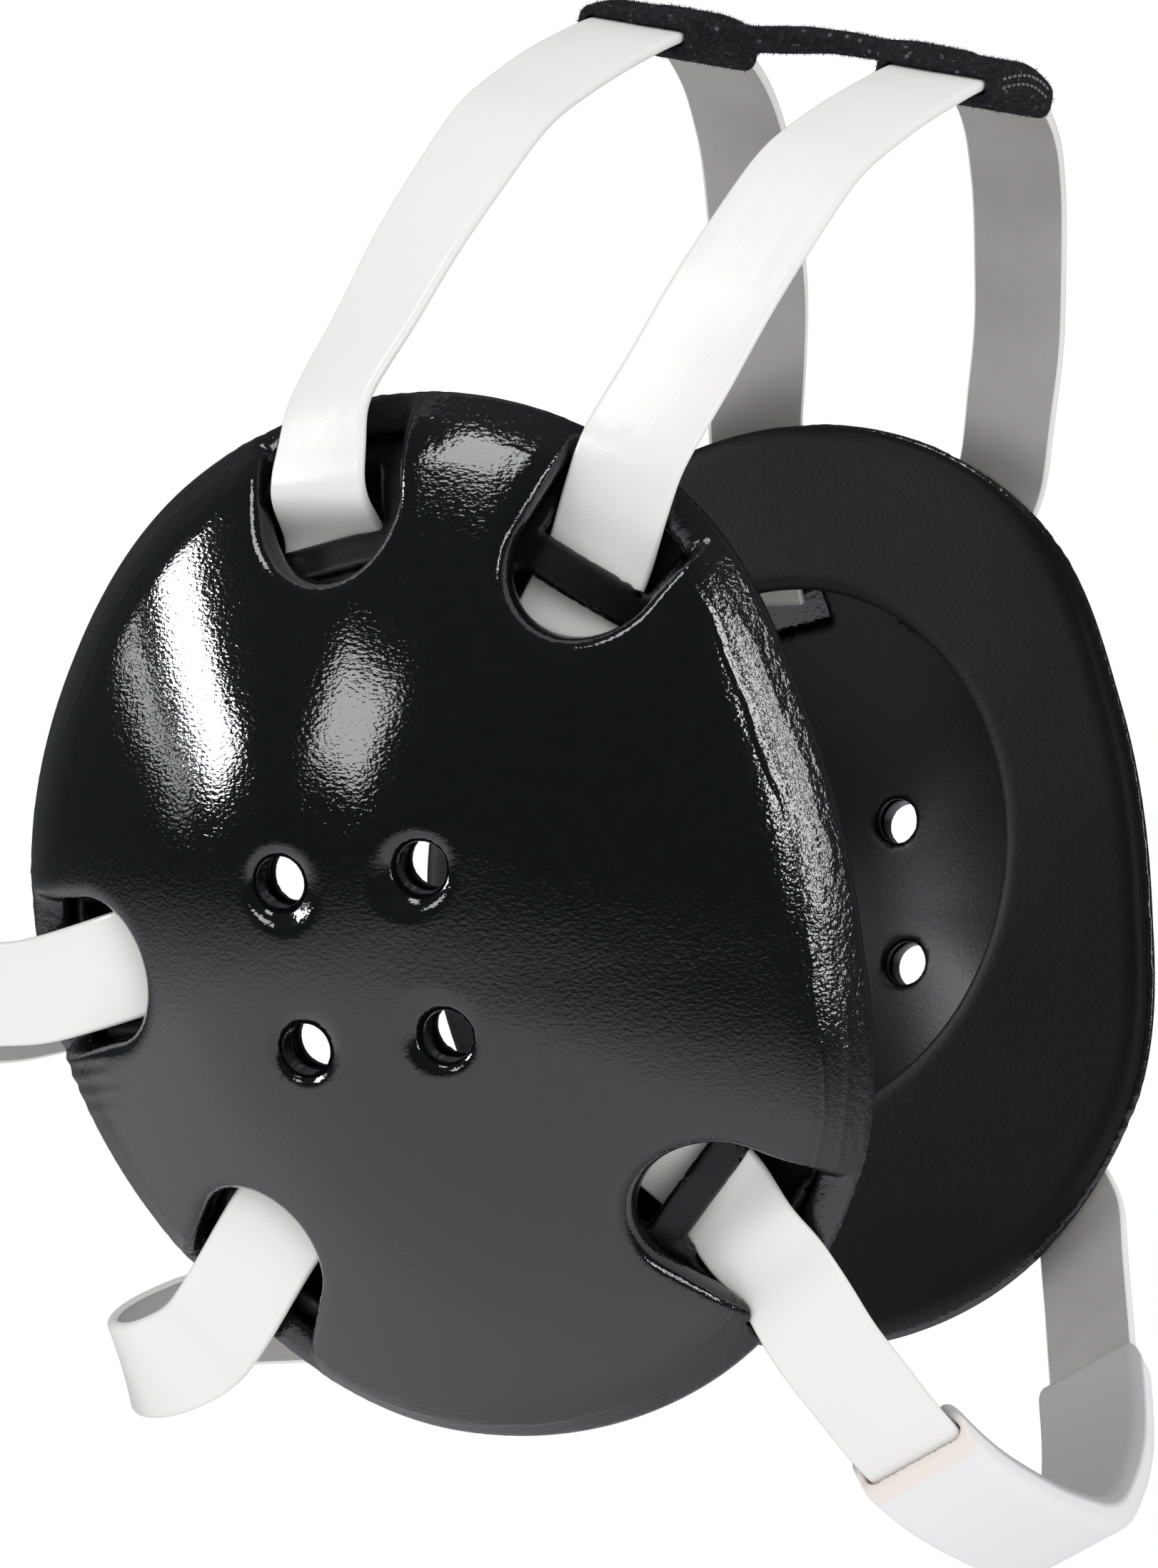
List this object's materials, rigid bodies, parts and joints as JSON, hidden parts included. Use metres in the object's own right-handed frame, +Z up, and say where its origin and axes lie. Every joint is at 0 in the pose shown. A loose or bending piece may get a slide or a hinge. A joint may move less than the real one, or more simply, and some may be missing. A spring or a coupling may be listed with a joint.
{
  "type": "wrestling ear guard",
  "caption": "Ear guard for wrestling: domed vinyl-skinned ear cups with vent holes, joined by coated straps over the crown, behind the head and under the chin.",
  "frame": {"origin": "where the underside of the crown pad's waist sits on the top of the head, on the middle plane", "axes": "+Z up, +X towards the wearer's left, -Y the way the wearer faces"},
  "size_m": [0.2178, 0.1766, 0.2266],
  "materials": {
    "shell": "glossy black vinyl skin over foam, fine orange-peel grain, rougher at the rim",
    "liner": "satin dark foam skin on the inner side",
    "strap": "glossy off-white vinyl-coated webbing with rounded edges",
    "crown_pad": "charcoal fuzzy fabric with pale fibre specks",
    "chin_cover": "soft white sleeve with a warm, slightly darker cut edge"
  },
  "bodies": {
    "root": {"right_ear_shell": "shell", "left_ear_shell": "shell", "right_ear_liner": "liner", "left_ear_liner": "liner", "right_pad_ring": "liner", "left_pad_ring": "liner", "front_top_strap": "strap", "rear_top_strap": "strap", "upper_rear_strap": "strap", "lower_rear_strap": "strap", "chin_strap": "strap", "crown_pad": "crown_pad", "chin_cover": "chin_cover"}
  },
  "joints": []
}
